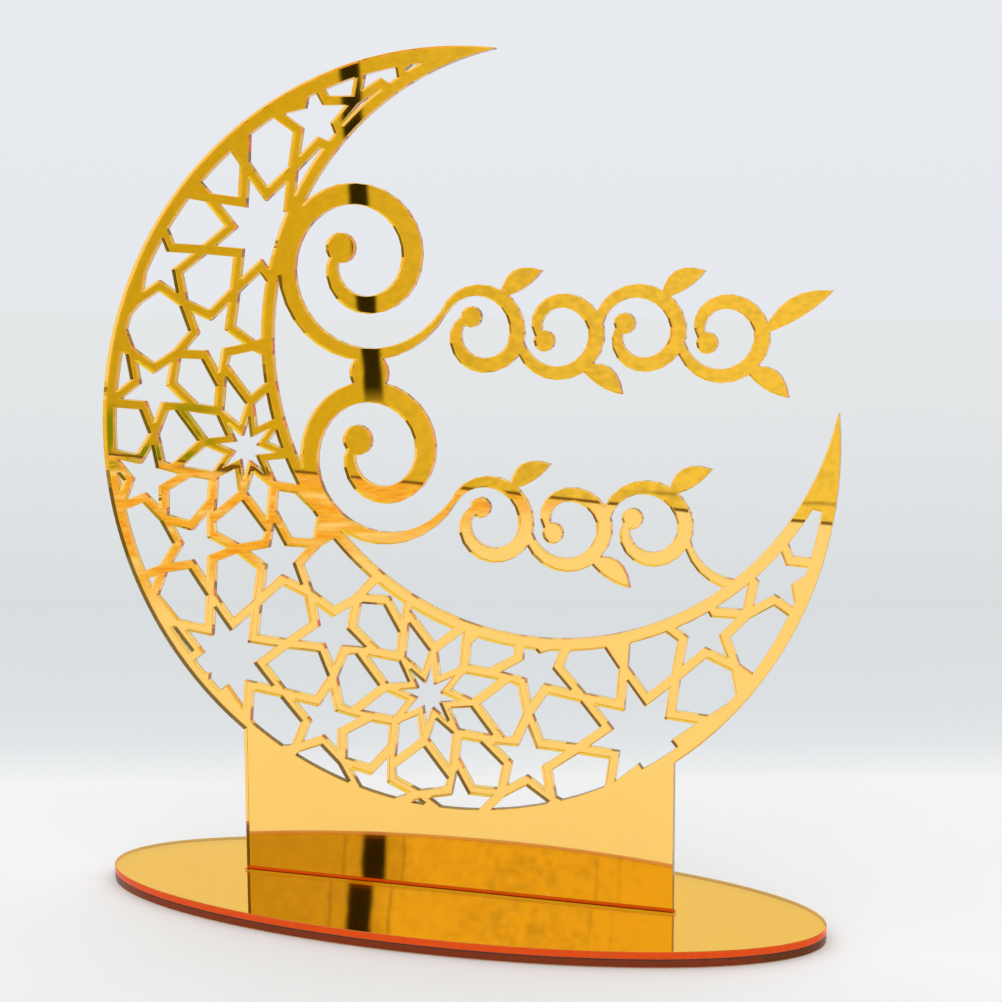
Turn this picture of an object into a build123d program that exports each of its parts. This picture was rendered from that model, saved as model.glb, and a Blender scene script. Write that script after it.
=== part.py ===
from build123d import *
import os
from math import acos, cos, degrees, hypot, radians, sin, sqrt

# A crescent moon cut from gold mirror sheet, standing in the slot of an oval base of two plates.
# X runs along the crescent, the viewer is on the -Y side, Z is up and zero is the table.

# Sheet stock, in millimetres: tinted clear sheet with a metal film and backing paint on its rear
SHEET = 2.0
BACKING = 0.15

# Moon outline: a disc with a smaller disc, the mouth, cut out of it and breaking through its edge.
# MOUTH_ANGLE is the way it opens, from level. The rim is widest at the top
MOON_R = 100.0
MOON_RISE = 119.53
MOUTH_R = 75.0
MOUTH_BREAK = 11.0
MOUTH_ANGLE = 44.2
RIM = 3.3
RIM_DROP = 0.5
MOUTH_RIM = 3.1
HORN_R = 0.15

# Foot and base
FOOT_WIDTH = 119.4
BASE_LENGTH = 197.7
BASE_DEPTH = 73.6
SLOT_END_PLAY = 0.5
SLOT_FACE_PLAY = 0.15

# Star fretwork: a square lattice of large stars with a rosette in the middle of each square
STAR_PITCH = 82.0
STAR_X = -64.0
STAR_Z = -60.7
ROSETTE_LINE = -6.34
BAR = 2.4
FINE_BAR = 1.8
LEAST_HOLE_AREA = 1.75
LEAST_HOLE_WIDTH = 0.4

# Proportions of the star pattern, as shares of its pitch
VALLEY_SHARE = 0.1134
TIP_SHARE = 0.2183
CROSSING_SHARE = 0.3725
PENTA_CENTRE_SHARE = 0.3890
PENTA_VALLEY_SHARE = 0.0683
ROSE_KNEE_SHARE = 0.2803
ROSE_VALLEY_SHARE = 0.1524
ROSE_CORE_SHARE = 0.0598
ROSE_CROSSING_SHARE = 0.3895
FORK_SHARE = 0.556

# Scroll ornament in the mouth: two great scrolls, each with a row of curls to its right
GREAT_R = 26.0
GREAT_END_R = 6.5
GREAT_SWEEP = 545.0
GREAT_WIDTH = 5.6
GREAT_BUD_R = 4.0
UPPER_BEARING = 157.0
LOWER_BEARING = 212.0
LOWER_R = 24.0
CURL_R = 10.4
CURL_END_R = 4.0
CURL_SWEEP = 395.0
CURL_WIDTH = 3.9
CURL_BUD_R = 2.7
THIN_WIDTH = 1.3
LEAD_ANGLE = 20.0
FIRST_LEAD = 4.0
JOIN_ANGLE = 28.7
LEAST_TAIL = 8.0
LEAF_LENGTH = 13.0
LEAF_BELLY = 2.6
LEAF_ROOT = 55.0
LEAF_TILT = 32.0
LEAF_FULL_SIDE = 1.5
LEAF_LEAN_SIDE = 0.5
LEAF_CHORDS = 6
SWELL_POWER = 0.7
CHORD_ERROR = 0.1

# Heights and layers that follow
TINTED = SHEET - BACKING
MOON_Z = 2 * SHEET + MOON_RISE
MOUTH_SHIFT = MOON_R - MOUTH_R + MOUTH_BREAK
MOUTH_WAY = (cos(radians(MOUTH_ANGLE)), sin(radians(MOUTH_ANGLE)))
MOUTH = (MOUTH_SHIFT * MOUTH_WAY[0], MOON_Z + MOUTH_SHIFT * MOUTH_WAY[1])
STAR_POINTS = 8
SIXTEENTH = 22.5
EIGHTH = 45.0
FIFTH = 72.0
QUARTER = 90.0
HALF_TURN = 180.0
FULL_TURN = 360.0
ORIGIN = (0.0, 0.0)


def polar(radius, angle, centre=ORIGIN):
    return (centre[0] + radius * cos(radians(angle)), centre[1] + radius * sin(radians(angle)))


def spin(point, angle, centre=ORIGIN):
    dx, dy = point[0] - centre[0], point[1] - centre[1]
    c, s = cos(radians(angle)), sin(radians(angle))
    return (centre[0] + c * dx - s * dy, centre[1] + s * dx + c * dy)


def flip(point, line_angle, centre=ORIGIN):
    """Mirror a point in the line through centre at the given angle."""
    dx, dy = point[0] - centre[0], point[1] - centre[1]
    c, s = cos(radians(2 * line_angle)), sin(radians(2 * line_angle))
    return (centre[0] + c * dx + s * dy, centre[1] + s * dx - c * dy)


def along(start, end, share):
    return (start[0] + share * (end[0] - start[0]), start[1] + share * (end[1] - start[1]))


# Fretwork: joints of the pattern between a star at the origin and the rosette on its 0 degree line
ROSE = (STAR_PITCH / sqrt(2), 0.0)
VALLEY = VALLEY_SHARE * STAR_PITCH
TIP = TIP_SHARE * STAR_PITCH
ROSE_VALLEY = ROSE_VALLEY_SHARE * STAR_PITCH
ROSE_CORE = ROSE_CORE_SHARE * STAR_PITCH
STAR_TIP = polar(TIP, SIXTEENTH)
AXIS_CROSS = polar(CROSSING_SHARE * STAR_PITCH, 0.0)
SIDE_CROSS = polar(CROSSING_SHARE * STAR_PITCH, EIGHTH)
PENTA = polar(PENTA_CENTRE_SHARE * STAR_PITCH, SIXTEENTH)
PENTA_VALLEY = PENTA_VALLEY_SHARE * STAR_PITCH
P_OUT, P_SIDE, P_IN_SIDE, P_IN_AXIS, P_AXIS = [
    polar(PENTA_VALLEY, SIXTEENTH + FIFTH * step, PENTA) for step in range(5)]
ROSE_AXIS = polar(ROSE_VALLEY, HALF_TURN, ROSE)
ROSE_SIDE = polar(ROSE_VALLEY, HALF_TURN - EIGHTH, ROSE)
ROSE_KNEE = polar(ROSE_KNEE_SHARE * STAR_PITCH, HALF_TURN - SIXTEENTH, ROSE)
ROSE_CROSS = polar(ROSE_CROSSING_SHARE * STAR_PITCH, HALF_TURN - EIGHTH, ROSE)
CORE = polar(ROSE_CORE, HALF_TURN - SIXTEENTH, ROSE)
FORK = along(ROSE_SIDE, ROSE_KNEE, FORK_SHARE)


def star(centre, tip, valley, first_valley):
    points = []
    for step in range(STAR_POINTS):
        points.append(polar(valley, first_valley + EIGHTH * step, centre))
        points.append(polar(tip, first_valley + SIXTEENTH + EIGHTH * step, centre))
    return points


def inset(points, bars):
    """Move each side of an outline inwards by half the bar that runs along it."""
    doubled_area = 0.0
    for (x0, y0), (x1, y1) in zip(points, points[1:] + points[:1]):
        doubled_area += x0 * y1 - x1 * y0
    inward = 1.0 if doubled_area > 0 else -1.0
    sides = []
    for (x0, y0), (x1, y1), bar in zip(points, points[1:] + points[:1], bars):
        length = hypot(x1 - x0, y1 - y0)
        ux, uy = (x1 - x0) / length, (y1 - y0) / length
        step = inward * bar / 2
        sides.append((x0 - uy * step, y0 + ux * step, ux, uy))
    corners = []
    for (ax, ay, au, av), (bx, by, bu, bv) in zip(sides[-1:] + sides[:-1], sides):
        reach = ((bx - ax) * bv - (by - ay) * bu) / (au * bv - av * bu)
        corners.append((ax + reach * au, ay + reach * av))
    return corners


def unit_holes():
    """Openings round one large star and one rosette, in the pattern's own frame."""
    penta = [STAR_TIP, P_IN_AXIS, AXIS_CROSS, P_AXIS, FORK, P_OUT, ROSE_CROSS, P_SIDE, SIDE_CROSS, P_IN_SIDE]
    half_petal = [STAR_TIP, P_IN_AXIS]
    petal = [polar(VALLEY, 0.0)] + half_petal + [AXIS_CROSS] + [flip(p, 0.0) for p in reversed(half_petal)]
    half_link = [ROSE_KNEE, P_AXIS]
    link = [ROSE_AXIS] + half_link + [AXIS_CROSS] + [flip(p, 0.0) for p in reversed(half_link)]
    half_side = [STAR_TIP, P_IN_SIDE]
    side = [polar(VALLEY, EIGHTH)] + half_side + [SIDE_CROSS] + [flip(p, EIGHTH) for p in reversed(half_side)]
    half_ray = [FORK, P_OUT]
    ray_line = HALF_TURN - EIGHTH
    ray = [ROSE_SIDE] + half_ray + [ROSE_CROSS] + [flip(p, ray_line, ROSE) for p in reversed(half_ray)]
    bay = [SIDE_CROSS, P_SIDE, ROSE_CROSS, flip(P_SIDE, ray_line, ROSE)]
    centre = polar(STAR_PITCH / 2, EIGHTH)
    bay += [spin(p, HALF_TURN, centre) for p in bay]
    kite = [ROSE_AXIS, ROSE_KNEE, ROSE_SIDE, CORE]
    kite_bars = [BAR, BAR, FINE_BAR, FINE_BAR]
    star_sides = 2 * STAR_POINTS
    holes = [(star(ORIGIN, TIP, VALLEY, 0.0), [BAR] * star_sides)]
    holes.append((star(ROSE, ROSE_VALLEY, ROSE_CORE, SIXTEENTH), [FINE_BAR] * star_sides))
    for quarter in range(4):
        turn = QUARTER * quarter
        for shape in (penta, [flip(p, 0.0) for p in penta], petal, side, link):
            holes.append(([spin(p, turn) for p in shape], [BAR] * len(shape)))
        for shape in (kite, [flip(p, 0.0, ROSE) for p in kite]):
            holes.append(([spin(p, turn, ROSE) for p in shape], kite_bars))
        holes.append(([spin(p, turn, ROSE) for p in ray], [BAR] * len(ray)))
        if quarter < 2:
            holes.append(([spin(p, turn) for p in bay], [BAR] * len(bay)))
    return [inset(points, bars) for points, bars in holes]


def fret_wires():
    """The pattern laid over the moon, each opening cut off at the rims and slivers left solid."""
    fret_z = MOON_Z - RIM_DROP
    window = Pos(0, fret_z) * Circle(MOON_R - RIM) - Pos(*MOUTH) * Circle(MOUTH_R + MOUTH_RIM)
    window_face = window.face()
    first_star = (STAR_X, MOON_Z + STAR_Z)
    reach = int(2 * MOON_R / STAR_PITCH) + 2
    shapes = unit_holes()
    wires = []
    for row in range(-reach, reach + 1):
        for column in range(-reach, reach + 1):
            shift = spin((row * STAR_PITCH, column * STAR_PITCH), EIGHTH)
            for shape in shapes:
                points = []
                for x, y in shape:
                    dx, dy = spin((x + shift[0], y + shift[1]), ROSETTE_LINE)
                    points.append((first_star[0] + dx, first_star[1] + dy))
                near = min(hypot(x, y - fret_z) for x, y in points)
                far = max(hypot(x - MOUTH[0], y - MOUTH[1]) for x, y in points)
                if near > MOON_R - RIM or far < MOUTH_R + MOUTH_RIM:
                    continue
                opening = make_face(Polyline(*points, close=True)) & window_face
                for piece in opening.faces():
                    wide = 2 * piece.area / piece.outer_wire().length
                    if piece.area > LEAST_HOLE_AREA and wide > LEAST_HOLE_WIDTH:
                        wires.append(piece.outer_wire())
    return wires


# Scroll ornament, each curve drawn as short chords
def shares_of(sweep, radius_at):
    """Shares of a sweep that break its curve into chords, each true to within the chord error."""
    shares = [0.0]
    while shares[-1] < 1.0:
        turn = degrees(2 * acos(1 - CHORD_ERROR / radius_at(shares[-1])))
        shares.append(shares[-1] + turn / abs(sweep))
    return [share / shares[-1] for share in shares]


def flat(points):
    return make_face(Polyline(*points, close=True))


def disc(centre, radius):
    shares = shares_of(FULL_TURN, lambda share: radius)
    return flat([polar(radius, FULL_TURN * share, centre) for share in shares[:-1]])


def stroke(centre, start, sweep, radius_at, width_at):
    """A curved band that swells and thins, between two curves round one centre."""
    outer, inner = [], []
    for share in shares_of(sweep, radius_at):
        angle = start + sweep * share
        outer.append(polar(radius_at(share) + width_at(share) / 2, angle, centre))
        inner.append(polar(radius_at(share) - width_at(share) / 2, angle, centre))
    return flat(outer + inner[::-1])


def swelling(widest):
    return lambda share: THIN_WIDTH + (widest - THIN_WIDTH) * sin(radians(HALF_TURN * share)) ** SWELL_POWER


def great_scroll(bearing, first_r, tie_angle):
    """A spiral that leans on the mouth's rim at the bearing, with the places of its row and its tie."""
    start = -JOIN_ANGLE
    turned = FULL_TURN + start - bearing
    radius_at = lambda share: first_r + (GREAT_END_R - first_r) * share
    width_at = swelling(GREAT_WIDTH)
    lean_share = turned / GREAT_SWEEP
    lean = radius_at(lean_share) + width_at(lean_share) / 2
    centre = polar(MOUTH_R + MOUTH_RIM / 2 - lean, bearing, MOUTH)
    spiral = stroke(centre, start, -GREAT_SWEEP, radius_at, width_at)
    bud = disc(polar(GREAT_END_R, start - GREAT_SWEEP, centre), GREAT_BUD_R)
    tie = polar(radius_at((start - tie_angle) / GREAT_SWEEP), tie_angle, centre)
    return [spiral, bud], polar(first_r, start, centre), tie


def curl(centre, start, lead, way):
    """One curl of a row: half a circle with a lead, then a spiral into its own middle, ending in a bud."""
    sweep = CURL_SWEEP + lead
    half = (HALF_TURN + lead) / sweep
    radius_at = lambda share: CURL_R - (CURL_R - CURL_END_R) * max(0.0, (share - half) / (1 - half))
    band = stroke(centre, start - way * lead, way * sweep, radius_at, swelling(CURL_WIDTH))
    bud = disc(polar(CURL_END_R, start + way * CURL_SWEEP, centre), CURL_BUD_R)
    return [band, bud]


def leaf(base, heading, length, belly):
    """A pointed leaf, full on its left side and nearly straight on its right."""
    full, lean = [], []
    for step in range(1, LEAF_CHORDS):
        share = step / LEAF_CHORDS
        bulge = 4 * belly * share * (1 - share)
        spine = polar(length * share, heading, base)
        full.append(polar(bulge * LEAF_FULL_SIDE, heading + QUARTER, spine))
        lean.append(polar(bulge * LEAF_LEAN_SIDE, heading - QUARTER, spine))
    return flat([base] + lean + [polar(length, heading, base)] + full[::-1])


def curl_row(join, rim_end):
    """Curls side by side, turning over and under in turn, from a great scroll to the mouth's right side."""
    first = HALF_TURN - JOIN_ANGLE
    x0, z0 = polar(-CURL_R, first, join)
    side = MOUTH[0] + sqrt(MOUTH_R ** 2 - (z0 - MOUTH[1]) ** 2)
    count = int((side - LEAST_TAIL - (x0 - CURL_R)) / (2 * CURL_R))
    faces = []
    for index in range(count):
        way = -1 if index % 2 == 0 else 1
        centre = (x0 + 2 * CURL_R * index, z0)
        start, lead = (first, FIRST_LEAD) if index == 0 else (HALF_TURN, LEAD_ANGLE)
        faces += curl(centre, start, lead, way)
        bough = polar(CURL_R, -way * LEAF_ROOT, centre)
        faces.append(leaf(bough, -way * LEAF_TILT, LEAF_LENGTH, LEAF_BELLY))
    last = (x0 + 2 * CURL_R * count - CURL_R, z0)
    if rim_end:
        tail_r = (side + MOUTH_RIM - last[0]) / 2
        way = -1 if count % 2 == 0 else 1
        widening = lambda share: THIN_WIDTH + (CURL_WIDTH - THIN_WIDTH) * share
        start = HALF_TURN - way * LEAD_ANGLE
        sweep = way * (HALF_TURN + LEAD_ANGLE)
        faces.append(stroke((last[0] + tail_r, z0), start, sweep, lambda share: tail_r, widening))
    else:
        faces.append(leaf(last, LEAF_TILT, side - last[0], LEAF_BELLY))
    return faces


def ornament():
    upper, upper_join, upper_foot = great_scroll(UPPER_BEARING, GREAT_R, -QUARTER)
    lower, lower_join, lower_head = great_scroll(LOWER_BEARING, LOWER_R, QUARTER - FULL_TURN)
    tie_r = hypot(upper_foot[0] - lower_head[0], upper_foot[1] - lower_head[1]) / 2
    tie = disc(along(upper_foot, lower_head, 0.5), tie_r)
    faces = upper + lower + [tie] + curl_row(upper_join, False) + curl_row(lower_join, True)
    joined = Sketch() + faces
    return joined & Pos(*MOUTH) * Circle(MOUTH_R + MOUTH_RIM / 2)


def panel_face():
    moon = Pos(0, MOON_Z) * Circle(MOON_R)
    foot = Pos(0, (SHEET + MOON_Z) / 2) * Rectangle(FOOT_WIDTH, MOON_Z - SHEET)
    plain = moon + foot - Pos(*MOUTH) * Circle(MOUTH_R)
    opening_way = Axis((0, MOON_Z, 0), (*MOUTH_WAY, 0))
    horn_tips = plain.vertices().group_by(opening_way)[-1]
    whole = fillet(horn_tips, HORN_R) + ornament()
    return whole.face().make_holes(fret_wires())


def plate(low, high, slotted):
    oval = Ellipse(BASE_LENGTH / 2, BASE_DEPTH / 2)
    if slotted:
        oval -= Rectangle(FOOT_WIDTH + 2 * SLOT_END_PLAY, SHEET + 2 * SLOT_FACE_PLAY)
    return Pos(0, 0, low) * extrude(oval, high - low)


# Pieces: the standing panel in its two layers, and two plates laid back to back
upright = Plane.XZ * panel_face()
TOWARDS_VIEWER = (0, -1, 0)
PIECES = {
    "crescent_panel": extrude(Pos(0, SHEET / 2 - BACKING, 0) * upright, TINTED, dir=TOWARDS_VIEWER),
    "crescent_mirror_backing": extrude(Pos(0, SHEET / 2, 0) * upright, BACKING, dir=TOWARDS_VIEWER),
    "base_bottom_plate": plate(0.0, TINTED, False),
    "base_bottom_mirror_backing": plate(TINTED, SHEET, False),
    "base_top_mirror_backing": plate(SHEET, SHEET + BACKING, True),
    "base_top_plate": plate(SHEET + BACKING, 2 * SHEET, True),
}

os.makedirs("parts", exist_ok=True)
for name, solid in PIECES.items():
    export_step(solid, os.path.join("parts", name + ".step"))
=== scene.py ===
import math

import bmesh
import bpy
from mathutils import Matrix, Vector


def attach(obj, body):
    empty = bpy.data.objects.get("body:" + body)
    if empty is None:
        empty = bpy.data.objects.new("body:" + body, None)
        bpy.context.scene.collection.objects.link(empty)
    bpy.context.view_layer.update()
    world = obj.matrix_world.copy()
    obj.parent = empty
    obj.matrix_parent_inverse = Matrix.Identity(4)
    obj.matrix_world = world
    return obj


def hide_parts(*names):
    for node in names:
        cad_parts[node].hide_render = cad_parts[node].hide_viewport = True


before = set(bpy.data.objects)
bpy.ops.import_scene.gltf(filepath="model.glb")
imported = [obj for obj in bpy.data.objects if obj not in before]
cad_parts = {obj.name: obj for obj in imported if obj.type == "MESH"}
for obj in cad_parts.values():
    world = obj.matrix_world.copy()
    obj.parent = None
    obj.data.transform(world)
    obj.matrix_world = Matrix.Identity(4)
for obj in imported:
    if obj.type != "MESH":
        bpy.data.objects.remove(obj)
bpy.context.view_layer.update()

# A crescent ornament cut from gold mirror sheet: clear tinted sheet, a mirror film on its rear and paint over
# the film. Everything is in metres and degrees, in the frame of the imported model.

BLACK = (0.0, 0.0, 0.0, 1.0)
WHITE = (1.0, 1.0, 1.0, 1.0)

# Camera at the photograph's viewing angle
CAMERA_PLACE = Vector((0.15624, -0.45693, 0.17408))
CAMERA_YAW = -17.329
CAMERA_PITCH = 7.76
CAMERA_ROLL = -0.189
CAMERA_LENS = 67.54
SENSOR_WIDTH = 36.0

# Clear sheet: its dye soaks up light by the metre, and faint smudges and dust lie on it
TINT = (1.0, 0.774, 0.0, 1.0)
TINT_DENSITY = 512.0
SHEET_IOR = 1.49
SHEET_TONE = (1.0, 0.99, 0.96, 1.0)
SHEET_ROUGHNESS = 0.004
SMUDGE_SCALE = 38.0
SMUDGE_ROUGHNESS = 0.012
DUST_SCALE = 150.0
DUST_SHARE = 0.06
DUST_FROST = 0.6
DUST_TONE = (0.95, 0.86, 0.62, 1.0)

# Melted lip that the laser leaves on a cut edge
LIP_WIDTH = 0.00012
LIP_DROP = 0.00009
LIP_FROST = 0.45
LIP_TONE = (0.95, 0.46, 0.06, 1.0)
LEAST_MITRE = 0.35

# Cut walls: the tone of each, the share of it that is frosted over, and the laser's fine lines on it
PANEL_WALL = (0.85, 0.42, 0.03, 1.0)
PANEL_FROST = 0.22
TOP_WALL = (0.74, 0.075, 0.002, 1.0)
TOP_FROST = 0.9
# The bottom sheet is the same gold sheet as the top one; its walls take a dark brown tone as painted shade,
# for the shade it lies in under the top sheet's mirror
BOTTOM_WALL_PAINTED_SHADE = (0.125, 0.030, 0.004, 1.0)
BOTTOM_FROST = 0.9
# Tone of a cut wall seen from inside the sheet: painted light, standing in for light that comes through the
# wall
INNER_WALL_PAINTED_LIGHT = (0.62, 0.34, 0.0, 1.0)
INNER_FROST = 0.95
WALL_ROUGHNESS = 0.05
FROST_ROUGHNESS = 0.28
FROST_GLOSS = 0.1
STRIAE_ACROSS = 900.0
STRIAE_ALONG = 60.0
STRIAE_DEPTH = 0.00001
STRIAE_ROUGHNESS = 0.15
STRIAE_LIGHTER = 1.25

# Painted glow, standing in for light that the base's upper sheet carries to its walls, seen from inside, and
# to the top of its slot
FAR_GLOW = (0.50, 0.34, 0.06, 1.0)
NEAR_GLOW = (0.34, 0.25, 0.0, 1.0)
SLOT_GLOW = (0.56, 0.085, 0.002, 1.0)
SLOT_HALF_WIDTH = 0.003
GLOW_LOW = 0.0031
GLOW_HIGH = 0.0034

# Mirror film: its gap to the paint, and how far it is from flat
FILM_GAP = 0.00002
FILM_SAG = 0.000012
FILM_RIPPLE = 0.0000008
FILM_DULL = (0.93, 0.915, 0.89, 1.0)
FILM_BRIGHT = (0.97, 0.955, 0.93, 1.0)
FILM_ROUGHNESS = 0.006
FILM_HAZE = 0.012

# Foot of the panel, sprung in its slot: the slope at which it leans, and the heights where that fades out
FOOT_LEAN = 0.0246
LEAN_MIDDLE = 0.045
LEAN_FADE = 0.03

# Backing paint
PAINT_DARK = (0.245, 0.240, 0.232, 1.0)
PAINT_LIGHT = (0.33, 0.325, 0.315, 1.0)
SCUFF_TONE = (0.43, 0.42, 0.41, 1.0)
SINGED_TONE = (0.045, 0.022, 0.012, 1.0)
PEEL_STRENGTH = 0.35
PEEL_DEPTH = 0.00005

# Meshes: corners closer than this are one, and a face is flat if its normal is this close to the thickness
WELD_DISTANCE = 1e-6
FLAT_DOT = 0.9

# Table: its near and far edges, measured along the camera's line of sight from under the camera
TABLE_NEAR = -0.202
TABLE_SKEW = 0.0529
TABLE_FAR = 0.616
TABLE_DROP = -0.0002
TABLE_HALF_SIDE = 4.0
TABLE_DULL = (0.915, 0.925, 0.935, 1.0)
TABLE_BRIGHT = (0.935, 0.945, 0.955, 1.0)

# Painted reflection on the table, which only mirrors see: a painted glow, a painted shadow line along its
# near edge widened into a painted shade over one stretch, a cloth to the left with sprigs
TABLE_GLOW = 1.15
TABLE_SHOWN = 0.6
# Painted shadow line along the table's near edge, as mirrors see it
RIM_PAINTED_SHADE = (0.16, 0.10, 0.02, 1.0)
RIM_MIDDLE = 0.008
RIM_HALF_WIDTH = 0.007
SHADE_SIDE = -0.735
SHADE_HALF_LENGTH = 0.05
SHADE_HALF_WIDTH = 0.022
CLOTH_START = -0.35
CLOTH_FULL = -0.46
CLOTH_PALE = (0.86, 0.62, 0.13, 1.0)
CLOTH_DEEP = (0.80, 0.36, 0.02, 1.0)
SPRIG_START = -0.78
SPRIG_FULL = -0.84
SPRIG_REACH = 0.12
SPRIG_END = 0.2
LEAF_TONE = (0.15, 0.34, 0.0, 1.0)

# Backdrop past the table, from infinitely far at 0 to the table's far edge at 1
BACKDROP_TONES = [
    (0.0, (0.79, 0.81, 0.845, 1.0)),
    (0.29, (0.775, 0.795, 0.83, 1.0)),
    (0.68, (0.695, 0.725, 0.755, 1.0)),
    (0.87, (0.725, 0.755, 0.785, 1.0)),
    (0.95, (0.775, 0.80, 0.83, 1.0)),
    (1.0, (0.86, 0.88, 0.90, 1.0)),
]

# Room that only mirrors see, by bearing and lift: a gold wall with a dark post, folds and a line below
HIGH_LIFT = (9.0, 11.0)
WALL_LEFT = (1.0, 0.84, 0.07, 1.0)
WALL_RIGHT = (1.0, 0.89, 0.28, 1.0)
WALL_HIGH = (0.95, 1.0, 0.25, 1.0)
POST_BEARING = -21.6
POST_HALF_WIDTH = 0.30
POST_FOOT = (-5.2, -4.2)
FOLDS = [(-0.92, 0.04), (0.92, 0.04), (7.18, 0.03), (7.89, 0.03)]
FOLD_SOFT = 0.04
FOLD_SHADE = 0.35
LINE_LIFT = -8.1
LINE_SLOPE = 0.048
LINE_SHADE = 0.5
PALE_LOW = (0.79, 0.81, 0.845, 1.0)
PALE_HIGH = (0.92, 0.93, 0.95, 1.0)
WARM_BEHIND = (0.92, 0.93, 0.52, 1.0)

# Path lengths that let light through a stack of sheets and mirrors
MOST_BOUNCES = 24
GLOSSY_BOUNCES = 16


class Wire:
    """An output socket. Sums on it add Math nodes to its tree."""

    def __init__(self, tree, socket):
        self.tree = tree
        self.socket = socket

    @classmethod
    def of(cls, tree, kind, settings=None, inputs=None, output=0):
        """Make any node: settings first, then the values or links of its sockets."""
        node = tree.nodes.new(kind)
        for name, value in (settings or {}).items():
            if name == "stops":
                cls.fill_ramp(node.color_ramp, value)
            else:
                setattr(node, name, value)
        for key, value in (inputs or {}).items():
            if isinstance(value, Wire):
                tree.links.new(value.socket, node.inputs[key])
            else:
                node.inputs[key].default_value = value
        return cls(tree, node.outputs[output])

    @staticmethod
    def fill_ramp(ramp, stops):
        while len(ramp.elements) < len(stops):
            ramp.elements.new(1.0)
        for element, (place, colour) in zip(ramp.elements, stops):
            element.position = place
            element.color = colour

    def part(self, output):
        return Wire(self.tree, self.socket.node.outputs[output])

    def maths(self, operation, *values):
        return Wire.of(self.tree, "ShaderNodeMath", {"operation": operation}, dict(enumerate(values)))

    def __add__(self, other):
        return self.maths("ADD", self, other)

    def __radd__(self, other):
        return self.maths("ADD", other, self)

    def __sub__(self, other):
        return self.maths("SUBTRACT", self, other)

    def __rsub__(self, other):
        return self.maths("SUBTRACT", other, self)

    def __mul__(self, other):
        return self.maths("MULTIPLY", self, other)

    def __rmul__(self, other):
        return self.maths("MULTIPLY", other, self)

    def __neg__(self):
        return self.maths("MULTIPLY", self, -1.0)

    def __abs__(self):
        return self.maths("ABSOLUTE", self)

    def either(self, other):
        return self.maths("MAXIMUM", self, other)

    def rise(self, low, high, at_low=0.0, at_high=1.0):
        """A smooth step from one value to another."""
        sockets = {"Value": self, "From Min": low, "From Max": high, "To Min": at_low, "To Max": at_high}
        return Wire.of(self.tree, "ShaderNodeMapRange", {"interpolation_type": "SMOOTHSTEP"}, sockets)

    def band(self, centre, half_width, soft):
        """1 inside a stretch of values and 0 outside it."""
        return self.rise(centre - half_width - soft, centre - half_width + soft) * self.rise(
            centre + half_width - soft, centre + half_width + soft, 1.0, 0.0)

    def tone(self, first, second):
        """A colour between two, by this value."""
        return Wire.of(self.tree, "ShaderNodeMix", {"data_type": "RGBA"}, {0: self, 6: first, 7: second}, 2)

    def axis(self, name):
        """One number of a vector."""
        return Wire.of(self.tree, "ShaderNodeSeparateXYZ", None, {0: self}, name)

    def along(self, way):
        """How far a vector reaches along a direction."""
        settings = {"operation": "DOT_PRODUCT"}
        return Wire.of(self.tree, "ShaderNodeVectorMath", settings, {0: self, 1: way}, "Value")

    def scaled(self, *scale):
        settings = {"operation": "MULTIPLY"}
        return Wire.of(self.tree, "ShaderNodeVectorMath", settings, {0: self, 1: scale})

    def noise(self, scale, detail=2.0, roughness=0.5):
        sockets = {"Vector": self, "Scale": scale, "Detail": detail, "Roughness": roughness}
        return Wire.of(self.tree, "ShaderNodeTexNoise", None, sockets)


def new_material(name):
    material = bpy.data.materials.new(name)
    material.use_nodes = True
    material.node_tree.nodes.clear()
    return material, material.node_tree


def output_of(tree, surface, volume=None):
    sockets = {"Surface": surface}
    if volume is not None:
        sockets["Volume"] = volume
    node = tree.nodes.new("ShaderNodeOutputMaterial")
    for name, wire in sockets.items():
        tree.links.new(wire.socket, node.inputs[name])


def object_coordinates(tree):
    return Wire.of(tree, "ShaderNodeTexCoord", output="Object")


def bump(height, strength=1.0, distance=1.0):
    """A normal for a surface of this height, in metres unless distance says otherwise."""
    sockets = {"Height": height, "Strength": strength, "Distance": distance}
    return Wire.of(height.tree, "ShaderNodeBump", None, sockets, "Normal")


def principled(tree, sockets):
    return Wire.of(tree, "ShaderNodeBsdfPrincipled", None, sockets)


def mixed(factor, first, second):
    return Wire.of(factor.tree, "ShaderNodeMixShader", None, {0: factor, 1: first, 2: second})


# Finishes
def speck(place, scale, share):
    """Grains of dust: small round dots, scattered, in this share of the cells of a grid."""
    cell = Wire.of(place.tree, "ShaderNodeTexVoronoi", None, {"Vector": place, "Scale": scale}, "Distance")
    pick = Wire.of(place.tree, "ShaderNodeSeparateColor", None, {0: cell.part("Color")}, "Red")
    return pick.rise(share, 0.9 * share) * cell.rise(0.05, 0.03)


def foot_lean(place):
    """How far the panel leans out of its plane, in metres, by height."""
    height = place.axis("Z")
    return FOOT_LEAN * height.maths("SMOOTH_MIN", height, LEAN_MIDDLE, LEAN_FADE)


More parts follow.
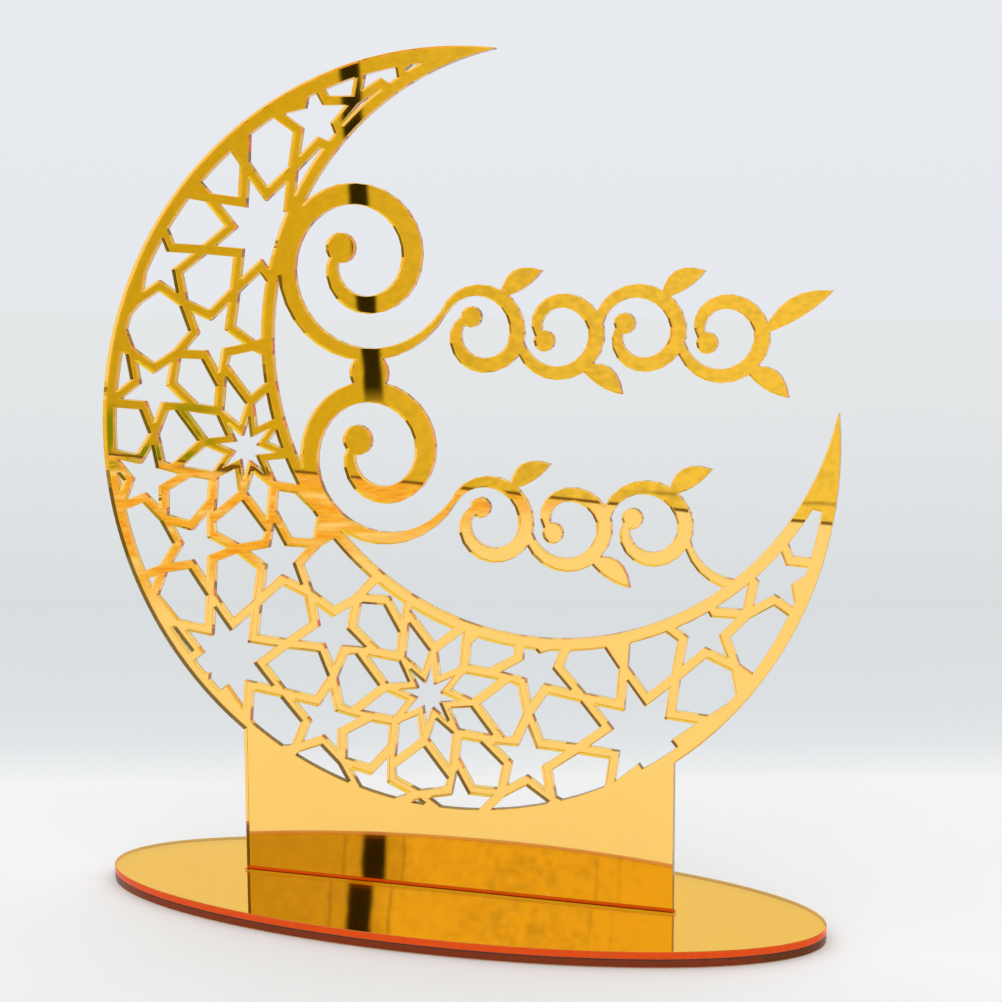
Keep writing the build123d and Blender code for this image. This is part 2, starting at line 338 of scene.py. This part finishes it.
def tinted_sheet(name, across, wall_tone, wall_frost, leaning=False, slotted=False):
    """Clear cast sheet with a yellow dye. across is the axis of its thickness, which its cut walls follow."""
    material, tree = new_material(name)
    place = object_coordinates(tree)
    normal = Wire.of(tree, "ShaderNodeNewGeometry", output="True Normal")
    outside = 1.0 - normal.part("Backfacing")
    facing = abs(normal.axis(across))
    wall = facing.rise(0.35, 0.2)
    lip = facing.band(0.8, 0.12, 0.02)
    smudge = place.noise(SMUDGE_SCALE, 3.0).rise(0.45, 0.75)
    dust = speck(place, DUST_SCALE, DUST_SHARE)
    drag = [STRIAE_ACROSS, STRIAE_ACROSS, STRIAE_ACROSS]
    drag["XYZ".index(across)] = STRIAE_ALONG
    striae = place.scaled(*drag).noise(1.0, 1.0)
    height = STRIAE_DEPTH * wall * striae
    if leaning:
        height = height + (1.0 - wall) * (2.0 * outside - 1.0) * foot_lean(place)
    relief = bump(height)
    clear = principled(tree, {
        "Base Color": SHEET_TONE,
        "Roughness": SHEET_ROUGHNESS + SMUDGE_ROUGHNESS * smudge + WALL_ROUGHNESS * wall * outside,
        "IOR": SHEET_IOR,
        "Transmission Weight": 1.0,
        "Normal": relief,
    })
    lighter_wall = [STRIAE_LIGHTER * part for part in wall_tone[:3]] + [1.0]
    cut = lip.tone(striae.tone(wall_tone, lighter_wall), LIP_TONE)
    finish = {
        "Base Color": outside.tone(INNER_WALL_PAINTED_LIGHT, dust.tone(cut, DUST_TONE)),
        "Roughness": FROST_ROUGHNESS + STRIAE_ROUGHNESS * striae,
        "Specular IOR Level": FROST_GLOSS,
        "Normal": relief,
    }
    frost = outside * (wall_frost * wall).either(LIP_FROST * lip).either(DUST_FROST * dust)
    # Painted glow on the slotted sheet, on the inside of its cut walls and on the top of its slot, with a
    # painted light tone on those inner walls
    if slotted:
        slot = wall * abs(place.axis("Y")).rise(1.2 * SLOT_HALF_WIDTH, SLOT_HALF_WIDTH)
        slot = slot * place.axis("Z").rise(GLOW_LOW, GLOW_HIGH)
        inside = wall * (1.0 - outside)
        inner_glow = normal.axis("Y").rise(-0.3, 0.3).tone(NEAR_GLOW, FAR_GLOW)
        finish["Emission Color"] = slot.tone(inside.tone(BLACK, inner_glow), SLOT_GLOW)
        finish["Emission Strength"] = 1.0
        frost = frost.either(INNER_FROST * inside).either(slot)
    surface = mixed(frost, clear, principled(tree, finish))
    volume = Wire.of(tree, "ShaderNodeVolumeAbsorption", None, {"Color": TINT, "Density": TINT_DENSITY})
    output_of(tree, surface, volume)
    return material


def mirror_film(name, leaning=False):
    """The bright metal film behind the sheet, not quite flat."""
    material, tree = new_material(name)
    place = object_coordinates(tree)
    cloud = place.noise(55.0, 2.0)
    flatness = FILM_SAG * place.noise(26.0, 1.0) + FILM_RIPPLE * place.noise(160.0, 1.0)
    if leaning:
        flatness = flatness + foot_lean(place)
    output_of(tree, principled(tree, {
        "Base Color": cloud.tone(FILM_DULL, FILM_BRIGHT),
        "Metallic": 1.0,
        "Roughness": FILM_ROUGHNESS + FILM_HAZE * cloud,
        "Normal": bump(flatness),
    }))
    return material


def backing_paint(name, across):
    """Grey paint rolled over the film, with a fine orange peel and faint scuffs, singed at its cut edges."""
    material, tree = new_material(name)
    place = object_coordinates(tree)
    normal = Wire.of(tree, "ShaderNodeNewGeometry", output="True Normal")
    singed = abs(normal.axis(across)).rise(0.6, 0.3)
    peel = place.noise(1400.0, 2.0)
    cloud = place.noise(45.0, 3.0)
    scuff = place.scaled(1.0, 1.0, 9.0).noise(210.0, 4.0, 0.7).rise(0.62, 0.72)
    paint = (0.7 * cloud + 0.3 * peel).tone(PAINT_DARK, PAINT_LIGHT)
    output_of(tree, principled(tree, {
        "Base Color": singed.tone((0.5 * scuff).tone(paint, SCUFF_TONE), SINGED_TONE),
        "Roughness": 0.52 + 0.18 * cloud + 0.1 * scuff,
        "Specular IOR Level": 0.35,
        "Normal": bump(peel, PEEL_STRENGTH, PEEL_DEPTH),
    }))
    return material


# Pieces
def welded(mesh):
    """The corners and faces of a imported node, with its loose triangles joined."""
    shape = bmesh.new()
    shape.from_mesh(mesh)
    bmesh.ops.remove_doubles(shape, verts=shape.verts, dist=WELD_DISTANCE)
    shape.verts.index_update()
    corners = [vert.co.copy() for vert in shape.verts]
    faces = [[vert.index for vert in face.verts] for face in shape.faces]
    shape.free()
    return corners, faces


def face_normal(corners, face):
    a, b, c = (corners[index] for index in face)
    return (b - a).cross(c - a).normalized()


def lip_shifts(corners, front, side):
    """The front's outline, and how far each of its corners moves into the face to leave the lip its width."""
    edges = {(face[step - 1], face[step]) for face in front for step in range(len(face))}
    outline = [edge for edge in edges if edge[::-1] not in edges]
    inward = {}
    for start, end in outline:
        way = (corners[end] - corners[start]).normalized()
        for corner in (start, end):
            inward.setdefault(corner, []).append(way.cross(side))
    shifts = {}
    for corner, ways in inward.items():
        mean = sum(ways, Vector()).normalized()
        spread = max(mean.dot(ways[0]), LEAST_MITRE)
        shifts[corner] = mean * LIP_WIDTH / spread
    return outline, shifts


def laser_cut_sheet(name, node, film_side, sheet, film):
    """The node's sheet with a melted lip on its front edges and the film on the side film_side points to."""
    corners, faces = welded(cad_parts[node].data)
    side = Vector(film_side)
    dots = [face_normal(corners, face).dot(side) for face in faces]
    front = [face for face, dot in zip(faces, dots) if dot < -FLAT_DOT]
    rear = [face for face, dot in zip(faces, dots) if dot > FLAT_DOT]
    walls = [face for face, dot in zip(faces, dots) if abs(dot) <= FLAT_DOT]
    outline, shifts = lip_shifts(corners, front, side)
    inner = {}
    for corner, shift in shifts.items():
        inner[corner] = len(corners)
        corners.append(corners[corner] + shift)
    for corner in shifts:
        corners[corner] = corners[corner] + side * LIP_DROP
    for corner in {index for face in rear for index in face}:
        corners[corner] = corners[corner] - side * FILM_GAP
    lips = [(start, end, inner[end], inner[start]) for start, end in outline]
    front = [[inner[corner] for corner in face] for face in front]
    mesh = bpy.data.meshes.new(name)
    mesh.from_pydata(corners, [], front + walls + lips + rear)
    mesh.materials.append(sheet)
    mesh.materials.append(film)
    for face in mesh.polygons[-len(rear):]:
        face.material_index = 1
    piece = bpy.data.objects.new(name, mesh)
    bpy.context.scene.collection.objects.link(piece)
    return piece


panel_film = mirror_film("panel_mirror_film", leaning=True)
base_film = mirror_film("base_mirror_film")
panel_paint = backing_paint("panel_backing_paint", "Y")
base_paint = backing_paint("base_backing_paint", "Z")
panel_sheet = tinted_sheet("gold_sheet", "Y", PANEL_WALL, PANEL_FROST, leaning=True)
top_sheet = tinted_sheet("gold_base_sheet", "Z", TOP_WALL, TOP_FROST, slotted=True)
# The bottom sheet's dark wall tone is painted shade
bottom_sheet = tinted_sheet("dark_base_sheet", "Z", BOTTOM_WALL_PAINTED_SHADE, BOTTOM_FROST)

SHEETS = [
    ("crescent_sheet", "crescent_panel", "crescent", (0, 1, 0), panel_sheet, panel_film, "gold_sheet"),
    ("base_top_sheet", "base_top_plate", "base", (0, 0, -1), top_sheet, base_film, "gold_base_sheet"),
    ("base_bottom_sheet", "base_bottom_plate", "base", (0, 0, 1), bottom_sheet, base_film, "dark_base_sheet"),
]
for name, node, body, film_side, sheet, film, slot in SHEETS:
    piece = laser_cut_sheet(name, node, film_side, sheet, film)
    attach(piece, body)
    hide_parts(node)

BACKINGS = {
    "crescent_mirror_backing": panel_paint,
    "base_top_mirror_backing": base_paint,
    "base_bottom_mirror_backing": base_paint,
}
for node, paint in BACKINGS.items():
    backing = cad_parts[node]
    backing.data.materials.clear()
    backing.data.materials.append(paint)


# Camera
def place_camera():
    yaw = math.radians(CAMERA_YAW)
    pitch = math.radians(CAMERA_PITCH)
    roll = math.radians(CAMERA_ROLL)
    level = math.cos(pitch)
    forward = Vector((math.sin(yaw) * level, math.cos(yaw) * level, -math.sin(pitch)))
    level_right = Vector((math.cos(yaw), -math.sin(yaw), 0.0))
    right = math.cos(roll) * level_right + math.sin(roll) * level_right.cross(forward)
    up = right.cross(forward)
    data = bpy.data.cameras.new("camera")
    data.sensor_width = SENSOR_WIDTH
    data.lens = CAMERA_LENS
    camera = bpy.data.objects.new("camera", data)
    turn = Matrix((right, up, -forward)).transposed().to_4x4()
    camera.matrix_world = Matrix.Translation(CAMERA_PLACE) @ turn
    bpy.context.scene.collection.objects.link(camera)
    bpy.context.scene.camera = camera


place_camera()


# Table and room
def mirror_rays(tree):
    path = Wire.of(tree, "ShaderNodeLightPath", output="Is Glossy Ray")
    return path.either(path.part("Is Transmission Ray"))


def table_in_mirrors(place, edge, side):
    """The painted reflection that mirrors see on the table: the colour of its painted glow, and where that
    hides the table's own finish.
    """
    rim = edge.band(TABLE_NEAR + RIM_MIDDLE, RIM_HALF_WIDTH, 0.002)
    shade = edge.band(TABLE_NEAR + SHADE_HALF_WIDTH, SHADE_HALF_WIDTH, 0.008)
    rim = rim.either(shade * side.band(SHADE_SIDE, SHADE_HALF_LENGTH, 0.015))
    runner = side.rise(CLOTH_START, CLOTH_FULL) * place.noise(22.0, 3.0).rise(0.25, 0.5)
    cloth = place.noise(90.0, 2.0).rise(0.4, 0.7).tone(CLOTH_PALE, CLOTH_DEEP)
    sprig = place.noise(45.0, 2.0).rise(0.45, 0.55)
    sprig = sprig * edge.rise(TABLE_NEAR + SPRIG_END, TABLE_NEAR + SPRIG_REACH)
    cloth = (0.8 * sprig * side.rise(SPRIG_START, SPRIG_FULL)).tone(cloth, LEAF_TONE)
    colour = rim.tone((0.95 * runner).tone(WHITE, cloth), RIM_PAINTED_SHADE)
    return colour, rim.either(runner)


def table_finish():
    """A white table. Mirrors see a painted glow on it, and the room past its near edge; its far end takes the
    backdrop's tone.
    """
    material, tree = new_material("white_table")
    place = object_coordinates(tree)
    yaw = math.radians(CAMERA_YAW)
    sight = Vector((math.sin(yaw), math.cos(yaw), 0.0))
    right = Vector((math.cos(yaw), -math.sin(yaw), 0.0))
    away = place.along(sight) - CAMERA_PLACE.dot(sight)
    side = place.along(right) - CAMERA_PLACE.dot(right)
    edge = away - TABLE_SKEW * side
    grain = place.noise(30.0, 3.0)
    nearness = away.maths("DIVIDE", TABLE_FAR, away.either(TABLE_FAR))
    backdrop = Wire.of(tree, "ShaderNodeValToRGB", {"stops": BACKDROP_TONES}, {0: nearness})
    beyond = away.rise(TABLE_FAR - 0.02, TABLE_FAR + 0.002)
    matte = principled(tree, {
        "Base Color": beyond.tone(grain.tone(TABLE_DULL, TABLE_BRIGHT), backdrop),
        "Roughness": 0.75 + 0.1 * grain,
        "Specular IOR Level": 0.2,
    })
    mirrored = mirror_rays(tree)
    colour, hidden = table_in_mirrors(place, edge, side)
    # Painted glow: mirror rays see the table brighter than its light makes it, with the painted reflection on
    # it
    glow = Wire.of(tree, "ShaderNodeEmission", None, {"Color": colour, "Strength": TABLE_GLOW})
    table = mixed(mirrored * (TABLE_SHOWN + (1.0 - TABLE_SHOWN) * hidden), matte, glow)
    open_side = edge.rise(TABLE_NEAR - 0.002, TABLE_NEAR + 0.002, 1.0, 0.0) * mirrored
    output_of(tree, mixed(open_side, table, Wire.of(tree, "ShaderNodeBsdfTransparent")))
    return material


def lay_table():
    mesh = bpy.data.meshes.new("table")
    shape = bmesh.new()
    bmesh.ops.create_grid(shape, x_segments=4, y_segments=4, size=TABLE_HALF_SIDE)
    bmesh.ops.translate(shape, verts=shape.verts, vec=(0.0, 0.0, TABLE_DROP))
    shape.to_mesh(mesh)
    shape.free()
    mesh.materials.append(table_finish())
    table = bpy.data.objects.new("table", mesh)
    bpy.context.scene.collection.objects.link(table)


def wall_in_mirrors(ray, bearing, lift):
    """The room's wall on the camera's side: mottled, darker to the left and dark past the right end."""
    high = lift.rise(*HIGH_LIFT)
    mottle = 0.35 * ray.noise(85.0, 3.0, 0.6) + 0.65 * ray.scaled(1.0, 1.0, 1.7).noise(240.0, 1.0)
    grain = mottle.rise(0.34, 0.66) - 0.5
    uneven = bearing.rise(-24.0, -14.0, 0.07, 0.24) * (1.0 + 0.8 * high) * grain
    lamp = 0.2 * bearing.rise(-21.3, -20.3) - 0.12 * bearing.rise(-19.0, -17.5)
    lamp = lamp + 0.15 * bearing.rise(-16.0, -11.5)
    level = bearing.rise(-31.0, -6.0, 0.62, 0.95) + uneven + high * lamp
    post_lean = 0.104 - 0.065 * lift + 1.12 * high
    from_post = bearing - POST_BEARING - post_lean
    post = (from_post * (1.0 - 0.2 * high)).band(0.0, POST_HALF_WIDTH, 0.08) * lift.rise(*POST_FOOT)
    level = level * (1.0 - 0.96 * post)
    for middle, half_width in FOLDS:
        level = level * (1.0 - FOLD_SHADE * high * from_post.band(middle, half_width, FOLD_SOFT))
    line = (lift - LINE_LIFT + LINE_SLOPE * bearing).band(0.0, 0.05, 0.04) * bearing.rise(-14.0, -12.0)
    level = level * (1.0 - LINE_SHADE * line)
    level = level * (1.0 - 0.85 * bearing.rise(2.0, 10.0) * lift.rise(-3.0, 2.0))
    gold = bearing.rise(-24.0, -12.0).tone(WALL_LEFT, WALL_RIGHT)
    wall = level.tone(BLACK, high.tone(gold, WALL_HIGH))
    leaves = ray.noise(52.0, 2.0).rise(0.43, 0.54)
    corner = bearing.rise(-25.6, -26.6) * lift.band(-6.0, 1.2, 0.4)
    return (0.85 * corner * leaves).tone(wall, LEAF_TONE)


def light_room():
    """An even white room for light. The camera sees a pale backdrop; mirrors also see the wall behind it."""
    world = bpy.data.worlds.new("room")
    bpy.context.scene.world = world
    world.use_nodes = True
    tree = world.node_tree
    tree.nodes.clear()
    ray = Wire.of(tree, "ShaderNodeTexCoord", output="Generated")
    across = ray.axis("X")
    depth = ray.axis("Y")
    bearing = math.degrees(1.0) * across.maths("ARCTAN2", across, -depth)
    lift = math.degrees(1.0) * ray.axis("Z").maths("ARCSINE", ray.axis("Z"))
    pale = lift.rise(-2.0, 30.0).tone(PALE_LOW, PALE_HIGH)
    behind = lift.rise(8.0, 14.0).tone(pale, WARM_BEHIND)
    seen = (-depth).rise(0.0, 0.25).tone(behind, wall_in_mirrors(ray, bearing, lift))
    camera_ray = Wire.of(tree, "ShaderNodeLightPath", output="Is Camera Ray")
    colour = camera_ray.tone(mirror_rays(tree).tone(WHITE, seen), pale)
    background = Wire.of(tree, "ShaderNodeBackground", None, {"Color": colour, "Strength": 1.0})
    out = tree.nodes.new("ShaderNodeOutputWorld")
    tree.links.new(background.socket, out.inputs["Surface"])


lay_table()
light_room()

scene = bpy.context.scene
scene.view_settings.view_transform = "Standard"
scene.cycles.max_bounces = MOST_BOUNCES
scene.cycles.glossy_bounces = GLOSSY_BOUNCES
scene.cycles.transmission_bounces = MOST_BOUNCES
